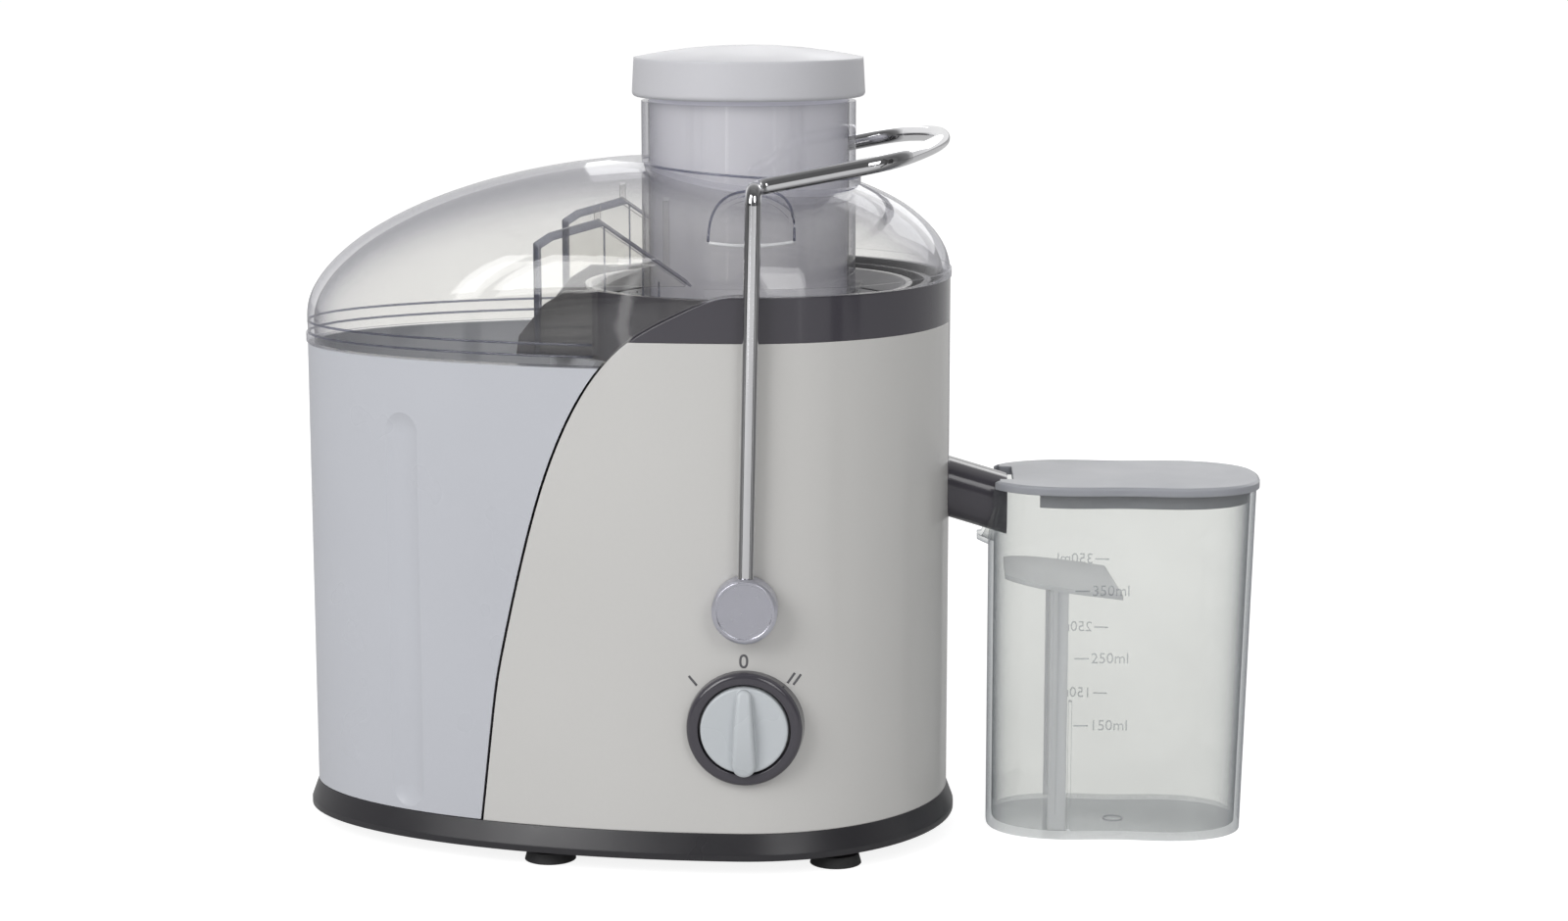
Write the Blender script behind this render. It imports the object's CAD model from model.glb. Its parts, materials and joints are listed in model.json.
"""A centrifugal juicer on a pale studio floor, built round its CAD frame."""

import json
import math

import bmesh
import bpy
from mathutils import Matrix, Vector
from mathutils.bvhtree import BVHTree


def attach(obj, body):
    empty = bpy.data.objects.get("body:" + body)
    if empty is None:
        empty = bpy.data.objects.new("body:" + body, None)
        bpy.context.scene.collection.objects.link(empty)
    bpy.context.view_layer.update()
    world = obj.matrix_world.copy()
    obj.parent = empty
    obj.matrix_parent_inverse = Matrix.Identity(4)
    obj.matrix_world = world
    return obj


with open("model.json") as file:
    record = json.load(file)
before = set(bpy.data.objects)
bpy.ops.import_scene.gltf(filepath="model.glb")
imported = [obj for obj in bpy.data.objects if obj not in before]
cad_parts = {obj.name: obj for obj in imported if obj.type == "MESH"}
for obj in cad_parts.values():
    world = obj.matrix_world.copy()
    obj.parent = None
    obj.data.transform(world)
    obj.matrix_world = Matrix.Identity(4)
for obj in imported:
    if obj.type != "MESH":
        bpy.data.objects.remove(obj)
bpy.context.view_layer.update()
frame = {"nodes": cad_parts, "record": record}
NODES = frame["nodes"]

MM = 0.001
AXIS_X = -10.1 * MM

# ---------------------------------------------------------------- camera
CAMERA_PLACE = Vector((52.1, -1036.4, 305.5)) * MM
CAMERA_HEADING = Vector((-0.0487, 0.9988, 0.0))
CAMERA_PITCH = math.radians(9.92)
CAMERA_LENS = 72.0


def place_camera():
    data = bpy.data.cameras.new("Camera")
    data.lens = CAMERA_LENS
    data.sensor_width = 36.0
    data.clip_end = 60.0
    camera = bpy.data.objects.new("Camera", data)
    bpy.context.scene.collection.objects.link(camera)
    look = CAMERA_HEADING.normalized() * math.cos(CAMERA_PITCH)
    look.z = -math.sin(CAMERA_PITCH)
    camera.location = CAMERA_PLACE
    camera.rotation_euler = look.to_track_quat("-Z", "Y").to_euler()
    bpy.context.scene.camera = camera


# ---------------------------------------------------------------- node graphs
class Graph:
    """A material's node tree, with short calls for the nodes used here."""

    def __init__(self, name):
        self.material = bpy.data.materials.new(name)
        self.material.use_nodes = True
        self.tree = self.material.node_tree
        self.tree.nodes.clear()
        self.output = self.new("ShaderNodeOutputMaterial")
        self.place = self.new("ShaderNodeTexCoord").outputs["Object"]

    def new(self, kind, inputs=None, **settings):
        node = self.tree.nodes.new(kind)
        for key, value in settings.items():
            setattr(node, key, value)
        for key, value in (inputs or {}).items():
            self.feed(node.inputs[key], value)
        return node

    def feed(self, socket, value):
        if isinstance(value, bpy.types.NodeSocket):
            self.tree.links.new(value, socket)
        elif isinstance(value, tuple) and len(value) == 3 and socket.type == "RGBA":
            socket.default_value = (*value, 1.0)
        else:
            socket.default_value = value

    def stretched(self, scale):
        return self.new("ShaderNodeMapping", {"Vector": self.place, "Scale": scale}).outputs[0]

    def noise(self, scale, detail=3.0, roughness=0.5, vector=None):
        inputs = {"Vector": vector or self.place, "Scale": scale, "Detail": detail, "Roughness": roughness}
        return self.new("ShaderNodeTexNoise", inputs).outputs["Fac"]

    def span(self, value, low, high, from_low=0.3, from_high=0.7):
        inputs = {"Value": value, "From Min": from_low, "From Max": from_high, "To Min": low, "To Max": high}
        return self.new("ShaderNodeMapRange", inputs).outputs[0]

    def maths(self, operation, a, b=0.0):
        node = self.new("ShaderNodeMath", operation=operation)
        self.feed(node.inputs[0], a)
        self.feed(node.inputs[1], b)
        return node.outputs[0]

    def mix(self, factor, a, b):
        node = self.new("ShaderNodeMix", data_type="RGBA")
        self.feed(node.inputs[0], factor)
        self.feed(node.inputs[6], a)
        self.feed(node.inputs[7], b)
        return node.outputs[2]

    def bump(self, height, strength, distance, normal=None):
        inputs = {"Height": height, "Strength": strength, "Distance": distance}
        if normal is not None:
            inputs["Normal"] = normal
        return self.new("ShaderNodeBump", inputs).outputs[0]

    def rounded(self, radius):
        return self.new("ShaderNodeBevel", {"Radius": radius}, samples=8).outputs[0]

    def edge(self, rounded, sharp=0.80, flat=0.94):
        """1 on an edge within the rounded normal's radius and 0 on a flat face."""
        true = self.new("ShaderNodeNewGeometry").outputs["Normal"]
        dot = self.new("ShaderNodeVectorMath", operation="DOT_PRODUCT")
        self.feed(dot.inputs[0], rounded)
        self.feed(dot.inputs[1], true)
        return self.span(dot.outputs["Value"], 1.0, 0.0, sharp, flat)

    def principled(self, **inputs):
        names = {key.replace("_", " "): value for key, value in inputs.items()}
        return self.new("ShaderNodeBsdfPrincipled", names).outputs[0]

    def finish(self, shader):
        self.tree.links.new(shader, self.output.inputs["Surface"])
        return self.material


FACING_MIRROR = 0.042           # share of light that clear plastic mirrors face on
GRAZING_MIRROR = 0.90


def scaled(colour, factor):
    return tuple(min(1.0, c * factor) for c in colour)


def moulded(name, colour, rough, grain=900.0, depth=0.03, shade=0.94, edge_tint=1.12,
            radius=0.7 * MM, coat=0.0, subsurface=0.0, soften=True):
    """Injection moulded plastic: slow tint drift, fine skin texture, handled patches and paler edges.

    soften also rounds the shading over the edges."""
    g = Graph(name)
    drift = g.noise(14.0, 2.0)
    specks = g.noise(grain, 2.0, 0.6)
    smudge = g.noise(38.0, 2.0, 0.5)
    base = g.mix(g.span(drift, 0.0, 1.0), scaled(colour, shade), colour)
    base = g.mix(g.span(specks, 0.0, 0.06), base, scaled(colour, 0.82))
    round_normal = g.rounded(radius)
    edge = g.edge(round_normal)
    base = g.mix(g.maths("MULTIPLY", edge, 0.55), base, scaled(colour, edge_tint))
    roughness = g.span(smudge, rough * 0.82, rough * 1.25, 0.25, 0.75)
    roughness = g.maths("ADD", roughness, g.maths("MULTIPLY", edge, 0.06))
    normal = g.bump(specks, depth, 0.12 * MM, round_normal if soften else None)
    inputs = dict(Base_Color=base, Roughness=roughness, Normal=normal, Coat_Weight=coat, Coat_Roughness=0.08)
    if subsurface:
        inputs.update(Subsurface_Weight=subsurface, Subsurface_Radius=(1.0, 1.0, 1.0),
                      Subsurface_Scale=2.5 * MM)
    return g.finish(g.principled(**inputs))


def rubber(name, colour=(0.018, 0.018, 0.02)):
    g = Graph(name)
    dust = g.noise(240.0, 5.0, 0.7)
    fine = g.noise(2600.0, 2.0, 0.6)
    base = g.mix(g.span(dust, 0.0, 0.5, 0.45, 0.85), colour, (0.075, 0.072, 0.068))
    round_normal = g.rounded(0.5 * MM)
    normal = g.bump(fine, 0.25, 0.1 * MM, round_normal)
    roughness = g.span(dust, 0.55, 0.85)
    return g.finish(g.principled(Base_Color=base, Roughness=roughness, Normal=normal))


def metal(name, colour, rough, scratch=(1.0, 1.0, 1.0), scratch_scale=900.0, depth=0.05, tarnish=0.86,
          radius=0.3 * MM, edge_rough=1.0, bands=0.0):
    """Metal with directional scratches, slow staining and brighter worn edges, polished by edge_rough.

    bands darkens the base colour where a round bar is seen at a slant, in place of dark reflections."""
    g = Graph(name)
    lines = g.noise(scratch_scale, 4.0, 0.7, g.stretched(scratch))
    stain = g.noise(60.0, 3.0, 0.6)
    round_normal = g.rounded(radius)
    edge = g.edge(round_normal)
    base = g.mix(g.span(stain, 0.0, 1.0), scaled(colour, tarnish), colour)
    base = g.mix(g.maths("MULTIPLY", edge, 0.5), base, scaled(colour, 1.2))
    if bands:
        facing = g.new("ShaderNodeLayerWeight", {"Blend": 0.5}).outputs["Facing"]
        begins = g.span(facing, 0.0, 1.0, 0.10, 0.24)
        ends = g.span(facing, 1.0, 0.0, 0.42, 0.66)
        strip = g.maths("MULTIPLY", begins, ends)
        base = g.mix(g.maths("MULTIPLY", strip, bands), base, scaled(colour, 0.16))
    roughness = g.span(lines, rough * 0.7, rough * 1.4)
    roughness = g.maths("MULTIPLY", roughness, g.span(edge, 1.0, edge_rough, 0.0, 1.0))
    normal = g.bump(lines, depth, 0.05 * MM, round_normal)
    return g.finish(g.principled(Base_Color=base, Metallic=1.0, Roughness=roughness, Normal=normal))


def clear(name, tint, edge_tint, haze_colour, haze=0.012, rim=0.25, rough=0.03, scuff=0.015,
          grazing=GRAZING_MIRROR):
    """Clear moulded plastic: a tinted see-through body that mirrors more and darkens where seen edge-on."""
    g = Graph(name)
    flow = g.noise(22.0, 3.0, 0.55)
    fine = g.noise(1400.0, 3.0, 0.6)
    normal = g.bump(flow, 0.05, 1.2 * MM)
    facing = g.new("ShaderNodeLayerWeight", {"Blend": 0.5, "Normal": normal}).outputs["Facing"]
    path = g.maths("POWER", facing, 2.6)
    drift = g.mix(g.span(flow, 0.0, 1.0), tint, scaled(tint, 0.985))
    through = g.new("ShaderNodeBsdfTransparent", {"Color": g.mix(path, drift, edge_tint)})
    polish = g.span(fine, rough, rough * 2.2)
    gloss = g.new("ShaderNodeBsdfGlossy", {"Color": (1.0, 1.0, 1.0), "Roughness": polish, "Normal": normal})
    mirror = g.maths("ADD", FACING_MIRROR, g.maths("MULTIPLY", g.maths("POWER", facing, 5.0), grazing))
    body = g.new("ShaderNodeMixShader")
    g.feed(body.inputs[0], mirror)
    g.feed(body.inputs[1], through.outputs[0])
    g.feed(body.inputs[2], gloss.outputs[0])
    scuffs = g.maths("MULTIPLY", g.span(g.noise(420.0, 6.0, 0.75), 0.0, 1.0, 0.55, 0.8), scuff)
    cloud = g.maths("ADD", g.span(flow, haze * 0.6, haze * 1.4), scuffs)
    haze_fac = g.maths("ADD", cloud, g.maths("MULTIPLY", path, rim))
    milky = g.principled(Base_Color=haze_colour, Roughness=0.35, Normal=normal)
    total = g.new("ShaderNodeMixShader")
    g.feed(total.inputs[0], haze_fac)
    g.feed(total.inputs[1], body.outputs[0])
    g.feed(total.inputs[2], milky)
    return g.finish(total.outputs[0])


def frosted(name, colour, see=0.3, rough=0.35, rim=0.4, depth=0.12, streak=(1.0, 1.0, 1.0), glow=0.0):
    """Translucent moulded plastic that shows some of what is behind it; glow stands for scattered light."""
    g = Graph(name)
    cloud = g.noise(34.0, 4.0, 0.6, g.stretched(streak))
    fine = g.noise(1500.0, 2.0, 0.6)
    round_normal = g.rounded(0.6 * MM)
    normal = g.bump(fine, depth, 0.08 * MM, round_normal)
    facing = g.new("ShaderNodeLayerWeight", {"Blend": 0.5}).outputs["Facing"]
    base = g.mix(g.span(cloud, 0.0, 1.0), scaled(colour, 0.93), colour)
    surface = g.principled(Base_Color=base, Roughness=g.span(cloud, rough * 0.8, rough * 1.2), Normal=normal,
                           Subsurface_Weight=0.6, Subsurface_Radius=(1.0, 1.0, 1.05),
                           Subsurface_Scale=4.0 * MM, Emission_Color=colour, Emission_Strength=glow)
    through = g.new("ShaderNodeBsdfTransparent", {"Color": (0.93, 0.93, 0.95)})
    opening = g.maths("MULTIPLY", g.span(cloud, see * 0.85, see * 1.1), g.maths("SUBTRACT", 1.0,
                      g.maths("MULTIPLY", facing, rim)))
    total = g.new("ShaderNodeMixShader")
    g.feed(total.inputs[0], opening)
    g.feed(total.inputs[1], surface)
    g.feed(total.inputs[2], through.outputs[0])
    return g.finish(total.outputs[0])


def dotted_sheet(name, colour, pitch, hole, rough=0.28):
    """Etched stainless sheet with rows of fine holes, drawn as dark pits."""
    g = Graph(name)
    cells = g.new("ShaderNodeTexVoronoi", {"Vector": g.place, "Scale": 1.0 / pitch, "Randomness": 0.12})
    pit = g.span(cells.outputs["Distance"], 1.0, 0.0, hole * 0.7, hole)
    stain = g.noise(90.0, 4.0, 0.6)
    base = g.mix(g.span(stain, 0.0, 1.0), scaled(colour, 0.82), colour)
    base = g.mix(g.maths("MULTIPLY", pit, 0.9), base, (0.03, 0.03, 0.032))
    normal = g.bump(g.maths("SUBTRACT", 1.0, pit), 0.5, 0.15 * MM)
    return g.finish(g.principled(Base_Color=base, Metallic=0.9, Roughness=g.span(stain, rough, rough * 1.5),
                                 Normal=normal))


def laminated(name, colour=(0.16, 0.16, 0.17)):
    """Stacked steel laminations: fine horizontal plates with rust specks."""
    g = Graph(name)
    plates = g.new("ShaderNodeTexWave", {"Vector": g.place, "Scale": 320.0, "Distortion": 0.3},
                   bands_direction="Z").outputs["Fac"]
    rust = g.noise(260.0, 5.0, 0.7)
    base = g.mix(g.span(plates, 0.0, 1.0), scaled(colour, 0.55), colour)
    base = g.mix(g.span(rust, 0.0, 0.5, 0.55, 0.8), base, (0.20, 0.09, 0.045))
    normal = g.bump(plates, 0.4, 0.2 * MM)
    roughness = g.span(rust, 0.35, 0.6)
    return g.finish(g.principled(Base_Color=base, Metallic=0.7, Roughness=roughness, Normal=normal))


def wound(name, colour=(0.52, 0.20, 0.07)):
    """Enamelled copper wire laid in turns."""
    g = Graph(name)
    turns = g.new("ShaderNodeTexWave", {"Vector": g.place, "Scale": 420.0, "Distortion": 0.8, "Detail": 1.0},
                  bands_direction="DIAGONAL").outputs["Fac"]
    varnish = g.noise(150.0, 4.0, 0.6)
    base = g.mix(g.span(turns, 0.0, 1.0), scaled(colour, 0.4), colour)
    base = g.mix(g.span(varnish, 0.0, 0.4), base, (0.35, 0.10, 0.03))
    normal = g.bump(turns, 0.7, 0.25 * MM)
    roughness = g.span(varnish, 0.22, 0.42)
    return g.finish(g.principled(Base_Color=base, Metallic=0.55, Roughness=roughness, Normal=normal))


# ---------------------------------------------------------------- materials
CREAM = (0.60, 0.593, 0.578)
BIN_WHITE = (0.535, 0.548, 0.590)
CHARCOAL = (0.060, 0.056, 0.068)
PLINTH_GREY = (0.026, 0.025, 0.029)


def make_materials():
    return {
        "cream_gloss": moulded("cream_gloss", CREAM, 0.20, shade=0.975, coat=0.15),
        "bin_white": moulded("bin_white", BIN_WHITE, 0.30, shade=0.97, radius=0.4 * MM, soften=False),
        "charcoal_gloss": moulded("charcoal_gloss", CHARCOAL, 0.14, depth=0.02, edge_tint=2.0, coat=0.3),
        "charcoal_satin": moulded("charcoal_satin", PLINTH_GREY, 0.30, depth=0.08, edge_tint=2.0),
        "black_rubber": rubber("black_rubber"),
        "black_plastic": moulded("black_plastic", (0.022, 0.022, 0.024), 0.45, depth=0.1, edge_tint=2.2),
        "nylon": moulded("nylon", (0.60, 0.57, 0.49), 0.4, depth=0.06),
        "clear_lid": clear("clear_lid", (0.947, 0.945, 0.937), (0.48, 0.48, 0.54), (0.50, 0.50, 0.53),
                           haze=0.007, scuff=0.010),
        "clear_jug": clear("clear_jug", (0.912, 0.916, 0.908), (0.34, 0.36, 0.385), (0.42, 0.44, 0.48),
                           grazing=0.35),
        "mould_mark": clear("mould_mark", (0.84, 0.85, 0.86), (0.40, 0.42, 0.45), (0.34, 0.35, 0.38),
                            haze=0.05),
        "clear_edge": clear("clear_edge", (0.62, 0.63, 0.69), (0.30, 0.31, 0.42), (0.30, 0.30, 0.36),
                            haze=0.10),
        "printed_grey": moulded("printed_grey", (0.14, 0.14, 0.15), 0.4, depth=0.02),
        "frosted_clear": frosted("frosted_clear", (0.82, 0.83, 0.85), see=0.30, glow=0.13),
        "frosted_lid": frosted("frosted_lid", (0.36, 0.37, 0.40), see=0.12, rough=0.4),
        "frosted_pusher": frosted("frosted_pusher", (0.82, 0.82, 0.90), see=0.08, rough=0.3,
                                  streak=(1.0, 1.0, 0.25), glow=0.10),
        "cap_white": moulded("cap_white", (0.60, 0.60, 0.63), 0.42, depth=0.14, radius=1.4 * MM,
                             subsurface=0.3),
        "basket_plastic": moulded("basket_plastic", (0.60, 0.60, 0.61), 0.28),
        "knob_grey": moulded("knob_grey", (0.56, 0.59, 0.615), 0.28, radius=0.9 * MM),
        "chrome_rod": metal("chrome_rod", (0.86, 0.86, 0.88), 0.05, depth=0.008, tarnish=0.95,
                            bands=0.85),
        "hub_chrome": metal("hub_chrome", (0.64, 0.64, 0.71), 0.34, scratch_scale=350.0, depth=0.001,
                            tarnish=0.96, radius=0.4 * MM, edge_rough=0.35),
        "zinc_steel": metal("zinc_steel", (0.58, 0.58, 0.56), 0.3),
        "lamination_steel": laminated("lamination_steel"),
        "copper_enamel": wound("copper_enamel"),
        "sieve_steel": dotted_sheet("sieve_steel", (0.66, 0.66, 0.67), 1.25 * MM, 0.30),
        "carbon": moulded("carbon", (0.03, 0.03, 0.032), 0.35),
    }


def dress_nodes(materials):
    for part in frame["record"]["subparts"]:
        node = NODES[part["node"]]
        node.data.materials.clear()
        node.data.materials.append(materials[part["material_slot"]])


# ---------------------------------------------------------------- pieces
def add_piece(name, mesh, body, material, smooth=False):
    piece = bpy.data.objects.new(name, mesh)
    bpy.context.scene.collection.objects.link(piece)
    mesh.materials.clear()
    mesh.materials.append(material)
    for face in mesh.polygons:
        face.use_smooth = smooth
    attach(piece, body)
    return piece


def prism_strip(outer, inner, depth, closed=False):
    """Mesh of the band between two outlines in the XZ plane, from Y = 0 to Y = depth."""
    bm = bmesh.new()
    rows = []
    for (ox, oz), (ix, iz) in zip(outer, inner):
        rows.append([bm.verts.new((ox, 0.0, oz)), bm.verts.new((ix, 0.0, iz)),
                     bm.verts.new((ix, depth, iz)), bm.verts.new((ox, depth, oz))])
    count = len(rows) if closed else len(rows) - 1
    for index in range(count):
        a, b = rows[index], rows[(index + 1) % len(rows)]
        for side in range(4):
            nxt = (side + 1) % 4
            bm.faces.new((a[side], b[side], b[nxt], a[nxt]))
    if not closed:
        bm.faces.new(rows[0])
        bm.faces.new(list(reversed(rows[-1])))
    bmesh.ops.recalc_face_normals(bm, faces=bm.faces)
    return bm


WELL_OUTSIDE = 0.4              # distance from the middle at which a ray starts clear of the object


def skin_tree(node):
    obj = NODES[node]
    points = [v.co.copy() for v in obj.data.vertices]
    faces = [list(p.vertices) for p in obj.data.polygons]
    return BVHTree.FromPolygons(points, faces)


def press_on(bm, tree, side, lift):
    """Move a mark drawn about Y = 0 (its face) onto a node's skin; side is -1 for front and 1 for back."""
    for vert in bm.verts:
        start = Vector((vert.co.x, side * WELL_OUTSIDE, vert.co.z))
        hit = tree.ray_cast(start, Vector((0.0, -side, 0.0)))[0]
        vert.co.y = hit.y + side * lift - side * vert.co.y


def as_mesh(bm, name):
    mesh = bpy.data.meshes.new(name)
    bm.to_mesh(mesh)
    bm.free()
    return mesh


def oval(half_x, half_z, centre, count=28):
    cx, cz = centre
    points = []
    for index in range(count):
        turn = 2 * math.pi * index / count
        c, s = math.cos(turn), math.sin(turn)
        x = cx + half_x * math.copysign(abs(c) ** 0.85, c)
        z = cz + half_z * math.copysign(abs(s) ** 0.85, s)
        points.append((x, z))
    return points


def bar(length, width, centre, turn):
    """Two long sides of a straight mark, turned by that angle from the vertical."""
    along = Vector((math.sin(turn), math.cos(turn))) * (length / 2)
    across = Vector((math.cos(turn), -math.sin(turn))) * (width / 2)
    middle = Vector(centre)
    left = [tuple(middle - across + along * t) for t in (-1.0, 0.0, 1.0)]
    right = [tuple(middle + across + along * t) for t in (-1.0, 0.0, 1.0)]
    return left, right


def dial_marks(material):
    """Printed 0, I and II round the knob."""
    tree = skin_tree("motor_housing")
    ink = 0.12 * MM
    centre = (AXIS_X + 2.1 * MM, 70.8 * MM)
    outer = oval(1.45 * MM, 2.25 * MM, centre)
    inner = oval(0.75 * MM, 1.55 * MM, centre)
    shapes = [("dial_mark_off", prism_strip(outer, inner, ink, closed=True))]
    bars = [("dial_mark_low", -14.2, 64.2, -40.0), ("dial_mark_high_a", 17.1, 65.0, 36.0),
            ("dial_mark_high_b", 19.0, 64.4, 36.0)]
    for name, x, z, turn in bars:
        left, right = bar(4.0 * MM, 0.75 * MM, (AXIS_X + x * MM, z * MM), math.radians(turn))
        shapes.append((name, prism_strip(left, right, ink)))
    for name, bm in shapes:
        press_on(bm, tree, -1, 0.06 * MM)
        add_piece(name, as_mesh(bm, name), "body", material)


def text_mesh(words, size):
    """Raised letters as a bmesh drawn in the XZ plane, with their face at Y = 0."""
    curve = bpy.data.curves.new("letters", "FONT")
    curve.body = words
    curve.size = size
    curve.extrude = 0.14 * MM
    curve.offset = -0.02 * MM
    curve.resolution_u = 3
    holder = bpy.data.objects.new("letters", curve)
    bpy.context.scene.collection.objects.link(holder)
    bpy.context.view_layer.update()
    mesh = bpy.data.meshes.new_from_object(holder)
    bpy.data.objects.remove(holder)
    bm = bmesh.new()
    bm.from_mesh(mesh)
    bpy.data.meshes.remove(mesh)
    for vert in bm.verts:
        x, y, z = vert.co
        vert.co = (x, 0.14 * MM - z, y)
    return bm


def volume_marks(material):
    """Moulded 150, 250 and 350 ml marks on the jug's front and back walls."""
    tree = skin_tree("juice_jug")
    sides = (("front", -1, 108.9, 1.0, ((150, 39.4), (250, 62.3), (350, 85.2))),
             ("back", 1, 122.7, -1.0, ((150, 38.0), (250, 61.4), (350, 85.4))))
    for where, side, dash_x, onward, levels in sides:
        for amount, level in levels:
            left = AXIS_X + dash_x * MM
            right = left + onward * 4.8 * MM
            upper = (level + 0.22) * MM
            lower = (level - 0.22) * MM
            dash = prism_strip([(left, upper), (right, upper)], [(left, lower), (right, lower)], 0.28 * MM)
            words = text_mesh(str(amount) + "ml", 5.1 * MM)
            for vert in words.verts:
                vert.co.x = left + onward * (5.4 * MM + vert.co.x)
                vert.co.z += (level - 1.6) * MM
            for kind, bm in (("dash", dash), ("figures", words)):
                press_on(bm, tree, side, 0.20 * MM)
                bmesh.ops.recalc_face_normals(bm, faces=bm.faces)
                name = f"volume_{kind}_{where}_{amount}"
                add_piece(name, as_mesh(bm, name), "jug", material)


GABLE = [(-66.5, 172.0), (-66.5, 201.0), (-62.0, 204.0), (-46.0, 208.6), (-18.0, 189.2)]


def guide_edges(material):
    """The dark, thick-looking edges of the clear guide plates under the lid."""
    for where, side in (("front", -1), ("rear", 1)):
        outer = [(AXIS_X + (x - 0.15) * MM, (z + 0.15) * MM) for x, z in GABLE]
        inner = [(AXIS_X + (x + 1.75) * MM, (z - 1.9) * MM) for x, z in GABLE]
        bm = prism_strip(outer, inner, 5.3 * MM)
        for vert in bm.verts:
            vert.co.y = side * (41.75 * MM - vert.co.y)
        bmesh.ops.recalc_face_normals(bm, faces=bm.faces)
        add_piece("guide_edge_" + where, as_mesh(bm, "guide_edge_" + where), "body", material)


def bead(points, radius, closed=False, sides=8):
    """Round bead along a line of points, with the ends closed unless it is a loop."""
    bm = bmesh.new()
    count = len(points)
    rings = []
    for index, point in enumerate(points):
        before = points[(index - 1) % count] if closed or index else point
        after = points[(index + 1) % count] if closed or index < count - 1 else point
        along = (after - before).normalized()
        helper = Vector((0.31, 0.22, 0.92)) if abs(along.z) < 0.8 else Vector((0.0, 1.0, 0.0))
        side = along.cross(helper).normalized()
        lift = side.cross(along)
        turns = [2 * math.pi * step / sides for step in range(sides)]
        spokes = [side * math.cos(turn) + lift * math.sin(turn) for turn in turns]
        rings.append([bm.verts.new(point + spoke * radius) for spoke in spokes])
    for index in range(count if closed else count - 1):
        a, b = rings[index], rings[(index + 1) % count]
        for step in range(sides):
            nxt = (step + 1) % sides
            bm.faces.new((a[step], a[nxt], b[nxt], b[step]))
    if not closed:
        bm.faces.new(rings[0])
        bm.faces.new(list(reversed(rings[-1])))
    bmesh.ops.recalc_face_normals(bm, faces=bm.faces)
    return bm


def add_bead(name, points, radius, body, material, closed=False):
    add_piece(name, as_mesh(bead(points, radius, closed), name), body, material, smooth=True)


def about_axis(x, y, z):
    """Point given in millimetres about the motor's axis."""
    return Vector((AXIS_X + x * MM, y * MM, z * MM))


def rim_beads(material):
    """Moulded steps round the left end of the lid's rim."""
    tree = skin_tree("feed_lid")
    for name, level in (("lid_rim_step_low", 167.6), ("lid_rim_step_high", 171.4)):
        points = []
        for step in range(33):
            turn = math.radians(112.0 + 136.0 * step / 32)
            outward = Vector((math.cos(turn), math.sin(turn), 0.0))
            middle = about_axis(-20.0, 0.0, level)
            hit = tree.ray_cast(middle + outward * 0.3, -outward)[0]
            points.append(hit - outward * 0.15 * MM)
        add_bead(name, points, 0.42 * MM, "body", material)


def chute_ring(material):
    """Sloping moulded line where the chute's collar ends."""
    points = []
    for step in range(72):
        turn = 2 * math.pi * step / 72
        x, y = 37.0 * math.cos(turn), 37.0 * math.sin(turn)
        points.append(about_axis(x, y, 222.3 - 0.068 * x))
    add_bead("chute_collar_line", points, 0.40 * MM, "body", material, closed=True)


def catch_lines(edge, ledge):
    """Thick-looking edges of the catch that the arm's loop snaps over."""
    tree = skin_tree("feed_lid")

    def on_lid(x, z):
        start = about_axis(x, 0.0, z)
        start.y = -WELL_OUTSIDE
        return tree.ray_cast(start, Vector((0.0, 1.0, 0.0)))[0]

    arch = []
    for step in range(25):
        turn = math.pi * (1.0 - step / 24)
        x = 4.2 + 13.4 * math.copysign(abs(math.cos(turn)) ** 0.7, math.cos(turn))
        arch.append(on_lid(x, 204.0 + 14.0 * math.sin(turn) ** 0.7))
    shelf = [on_lid(4.2 + 13.0 * t / 10.0, 203.6 - 0.9 * (1.0 - (t / 10.0) ** 2)) for t in range(-10, 11)]
    add_bead("catch_arch", arch, 0.42 * MM, "body", edge)
    add_bead("catch_ledge", shelf, 0.5 * MM, "body", ledge)


UPRIGHTS = ((-65.8, 166.0, 200.0, 0.75), (-43.8, 172.5, 206.5, 0.3),
            (-31.5, 175.0, 194.0, 0.3), (-26.4, 178.0, 189.0, 0.3))


def guide_uprights(material):
    """Upright edges of the clear guide plates, from UPRIGHTS: X, foot, top and radius in millimetres."""
    for where, y in (("front", -41.6), ("rear", 41.6)):
        for index, (x, low, high, radius) in enumerate(UPRIGHTS):
            name = f"guide_upright_{where}_{index}"
            points = [about_axis(x, y, low + (high - low) * t) for t in (0.0, 0.5, 1.0)]
            add_bead(name, points, radius * MM, "body", material)


def gate_mark(material):
    """Moulding gate ring on the jug's floor."""
    points = []
    for step in range(36):
        turn = 2 * math.pi * step / 36
        points.append(about_axis(123.5 + 3.2 * math.cos(turn), -4.1 + 3.2 * math.sin(turn), 2.45))
    add_bead("jug_gate_mark", points, 0.25 * MM, "jug", material, closed=True)


def make_pieces(materials):
    rim_beads(materials["clear_edge"])
    chute_ring(materials["clear_edge"])
    catch_lines(materials["clear_edge"], materials["frosted_clear"])
    guide_uprights(materials["clear_edge"])
    gate_mark(materials["mould_mark"])
    dial_marks(materials["printed_grey"])
    volume_marks(materials["mould_mark"])
    guide_edges(materials["clear_edge"])


# ---------------------------------------------------------------- stage
def area_light(name, place, target, size, power, colour=(1.0, 1.0, 1.0)):
    data = bpy.data.lights.new(name, "AREA")
    data.shape = "RECTANGLE"
    data.size, data.size_y = size
    data.energy = power
    data.color = colour
    lamp = bpy.data.objects.new(name, data)
    bpy.context.scene.collection.objects.link(lamp)
    lamp.location = place
    lamp.rotation_euler = (Vector(target) - Vector(place)).to_track_quat("-Z", "Y").to_euler()


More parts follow.
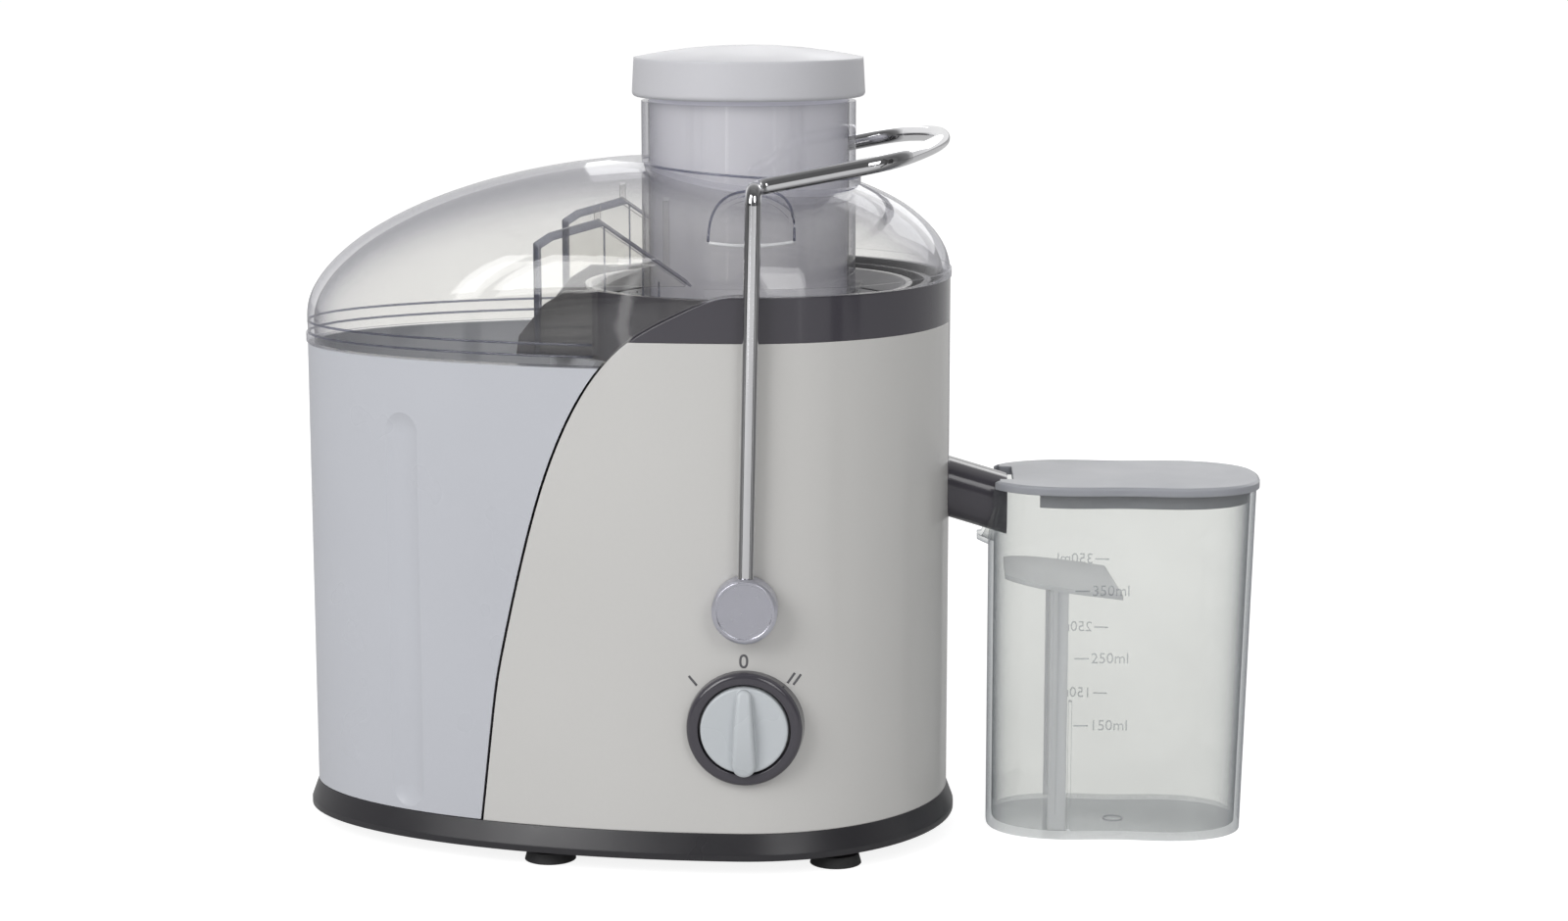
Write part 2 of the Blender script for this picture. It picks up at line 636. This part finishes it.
BLACK = (0.03, 0.03, 0.03)
WHITE = (1.0, 1.0, 1.0)
CARDS = (                       # name, place, size, turn in degrees, colour and glow
    ("flag_left", (-1.35, -0.75, 0.5), (0.5, 1.6), 62.0, BLACK, 0.0),
    ("flag_right", (1.35, -0.75, 0.5), (0.5, 1.6), -62.0, BLACK, 0.0),
    ("flag_near_left", (-0.30, -0.27, 0.30), (0.14, 0.9), 56.0, BLACK, 0.0),
    ("flag_near_right", (0.30, -0.27, 0.30), (0.14, 0.9), -56.0, BLACK, 0.0),
    ("strip_left", (-0.30, -0.80, 0.35), (0.03, 0.6), 20.0, WHITE, 1.4),
    ("strip_right", (0.42, -0.72, 0.35), (0.03, 0.6), -30.0, WHITE, 1.0))
FLOOR_RADIUS = 45.0             # metres, so that its edge is out of the camera's view


def studio():
    bpy.ops.mesh.primitive_circle_add(vertices=96, radius=FLOOR_RADIUS, fill_type="NGON",
                                      location=(0.0, 0.0, -0.2 * MM))
    floor = bpy.context.object
    floor.name = "studio_floor"
    g = Graph("floor_paper")
    fibres = g.noise(700.0, 4.0, 0.6)
    base = g.mix(g.span(fibres, 0.0, 1.0), (0.38, 0.38, 0.38), (0.40, 0.40, 0.40))
    ray = g.new("ShaderNodeLightPath").outputs["Is Camera Ray"]
    glow = g.span(ray, 0.22, 0.86, 0.0, 1.0)    # the camera sees a whiter floor than the object does
    paper = g.principled(Base_Color=base, Roughness=0.95, Specular_IOR_Level=0.0,
                         Emission_Color=(1.0, 1.0, 1.0), Emission_Strength=glow)
    floor.data.materials.append(g.finish(paper))
    for name, place, size, turn, colour, glow in CARDS:
        reflection_card(name, place, size, turn, colour, glow)
    area_light("key", (-1.2, -1.5, 1.2), (0.0, 0.0, 0.12), (1.1, 1.4), 24.0)
    area_light("fill", (0.9, -1.9, 1.3), (0.0, 0.0, 0.12), (0.9, 1.2), 11.0)
    area_light("top", (0.0, 0.25, 1.8), (0.0, 0.0, 0.1), (1.6, 1.2), 1.2)
    area_light("back", (0.5, 1.9, 1.1), (0.0, 0.0, 0.15), (2.0, 1.0), 10.0)
    bpy.context.scene.world = studio_world()
    bpy.context.scene.view_settings.view_transform = "Standard"
    bpy.context.scene.cycles.transparent_max_bounces = 48


def studio_world():
    """An even pale surround, which reflections see as bright behind the object and dim in front of it."""
    world = bpy.data.worlds.new("studio_world")
    world.use_nodes = True
    tree = world.node_tree
    back = tree.nodes["Background"]
    back.inputs["Color"].default_value = (1.0, 1.0, 1.0, 1.0)
    ray = tree.nodes.new("ShaderNodeLightPath")
    where = tree.nodes.new("ShaderNodeSeparateXYZ")
    tree.links.new(tree.nodes.new("ShaderNodeTexCoord").outputs["Generated"], where.inputs[0])
    depth = tree.nodes.new("ShaderNodeMapRange")
    tree.links.new(where.outputs["Y"], depth.inputs["Value"])
    for key, value in (("From Min", -0.5), ("From Max", 0.6), ("To Min", 0.10), ("To Max", 0.85)):
        depth.inputs[key].default_value = value
    level = tree.nodes.new("ShaderNodeMix")
    level.inputs[2].default_value = 0.42
    tree.links.new(ray.outputs["Is Glossy Ray"], level.inputs[0])
    tree.links.new(depth.outputs[0], level.inputs[3])
    tree.links.new(level.outputs[0], back.inputs["Strength"])
    return world


def reflection_card(name, place, size, turn, colour, glow):
    """A card that only reflections see."""
    bpy.ops.mesh.primitive_grid_add(x_subdivisions=2, y_subdivisions=2, size=1.0, location=place,
                                    rotation=(math.radians(90.0), 0.0, math.radians(turn)))
    card = bpy.context.object
    card.name = name
    card.scale = (*size, 1.0)
    g = Graph(name + "_cloth")
    nap = g.span(g.noise(60.0), 0.8, 0.95)
    card.data.materials.append(g.finish(g.principled(Base_Color=colour, Roughness=nap, Emission_Color=colour,
                                                    Emission_Strength=glow)))
    card.visible_camera = False
    card.visible_diffuse = False
    card.visible_shadow = False
    card.visible_transmission = False


place_camera()
MATERIALS = make_materials()
dress_nodes(MATERIALS)
make_pieces(MATERIALS)
studio()
